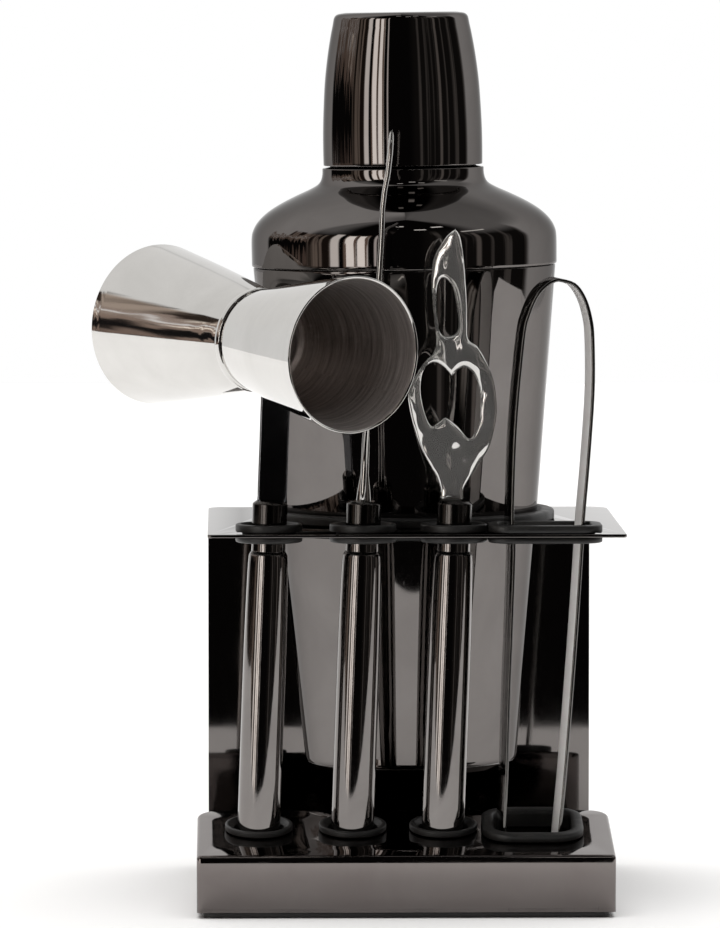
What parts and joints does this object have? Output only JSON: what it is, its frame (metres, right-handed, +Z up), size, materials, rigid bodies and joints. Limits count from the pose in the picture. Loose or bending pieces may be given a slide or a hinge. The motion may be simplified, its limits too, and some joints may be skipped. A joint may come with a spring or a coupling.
{
  "type": "cocktail shaker set",
  "caption": "Cobbler cocktail shaker hanging in a sheet metal stand with a double jigger, bar knife, bottle opener and ice tongs in rubber grommets",
  "frame": {"origin": "underside of the base pad, on the stand's centre line", "axes": "+Z up, -Y is the front with the tools, +X to the right seen from the front"},
  "size_m": [0.1551, 0.1504, 0.2594],
  "materials": {
    "gunmetal_mirror": "black nickel, mirror polished",
    "dark_steel": "dark plated, polished",
    "polished_steel": "polished stainless, brushed inside the cups",
    "plain_steel": "zinc plated",
    "black_rubber": "satin moulded"
  },
  "bodies": {
    "stand": {"console_shell": "gunmetal_mirror", "back_plate": "gunmetal_mirror", "rack_plate": "gunmetal_mirror", "rack_screw_left": "gunmetal_mirror", "rack_screw_right": "gunmetal_mirror", "console_standoff_left": "plain_steel", "console_standoff_right": "plain_steel", "console_screw_left": "plain_steel", "console_screw_right": "plain_steel", "rack_nut_left": "plain_steel", "rack_nut_right": "plain_steel", "base_pad": "black_rubber", "tool_rest_pad": "black_rubber", "shaker_collar": "black_rubber", "rack_grommet_jigger": "black_rubber", "rack_grommet_knife": "black_rubber", "rack_grommet_opener": "black_rubber", "rack_grommet_tongs": "black_rubber", "base_grommet_jigger": "black_rubber", "base_grommet_knife": "black_rubber", "base_grommet_opener": "black_rubber", "base_grommet_tongs": "black_rubber"},
    "shaker": {"shaker_body": "gunmetal_mirror"},
    "strainer": {"strainer_top": "gunmetal_mirror"},
    "cap": {"shaker_cap": "gunmetal_mirror"},
    "jigger": {"jigger_handle": "gunmetal_mirror", "jigger_ferrule": "dark_steel", "jigger_stem": "dark_steel", "jigger_band": "polished_steel", "jigger_cup_small": "polished_steel", "jigger_cup_large": "polished_steel"},
    "knife": {"knife_handle": "gunmetal_mirror", "knife_ferrule": "dark_steel", "knife_blade": "polished_steel"},
    "opener": {"opener_handle": "gunmetal_mirror", "opener_ferrule": "dark_steel", "opener_head": "polished_steel"},
    "tongs": {"tongs_arch": "polished_steel"},
    "tongs_left": {"tongs_arm_left": "polished_steel"},
    "tongs_right": {"tongs_arm_right": "polished_steel"}
  },
  "joints": [
    {"name": "shaker_lift", "type": "slide", "parent": "stand", "child": "shaker", "axis": [-0.0141, 0, 0.9999], "range_m": [0, 0.08]},
    {"name": "strainer_lift", "type": "slide", "parent": "shaker", "child": "strainer", "axis": [-0.0141, 0, 0.9999], "range_m": [0, 0.042]},
    {"name": "cap_lift", "type": "slide", "parent": "strainer", "child": "cap", "axis": [-0.0141, 0, 0.9999], "range_m": [0, 0.03]},
    {"name": "jigger_lift", "type": "slide", "parent": "stand", "child": "jigger", "axis": [0.0357, 0, 0.9994], "range_m": [0, 0.115]},
    {"name": "knife_lift", "type": "slide", "parent": "stand", "child": "knife", "axis": [0.0357, 0, 0.9994], "range_m": [0, 0.115]},
    {"name": "opener_lift", "type": "slide", "parent": "stand", "child": "opener", "axis": [0.0357, 0, 0.9994], "range_m": [0, 0.115]},
    {"name": "tongs_lift", "type": "slide", "parent": "stand", "child": "tongs", "axis": [0.0357, 0, 0.9994], "range_m": [0, 0.115]},
    {"name": "tongs_squeeze_left", "type": "hinge", "parent": "tongs", "child": "tongs_left", "pos_m": [0.0334, -0.031, 0.165], "axis": [0.1394, -0.9902, -0.005], "range_deg": [0, 2.2], "stiffness_Nm_per_rad": 0.6},
    {"name": "tongs_squeeze_right", "type": "hinge", "parent": "tongs", "child": "tongs_right", "pos_m": [0.0537, -0.031, 0.165], "axis": [-0.1394, 0.9902, 0.005], "range_deg": [0, 2.2], "stiffness_Nm_per_rad": 0.6}
  ],
  "couplings": [
    {"joint": "tongs_squeeze_right", "follows": "tongs_squeeze_left", "ratio": 1}
  ]
}
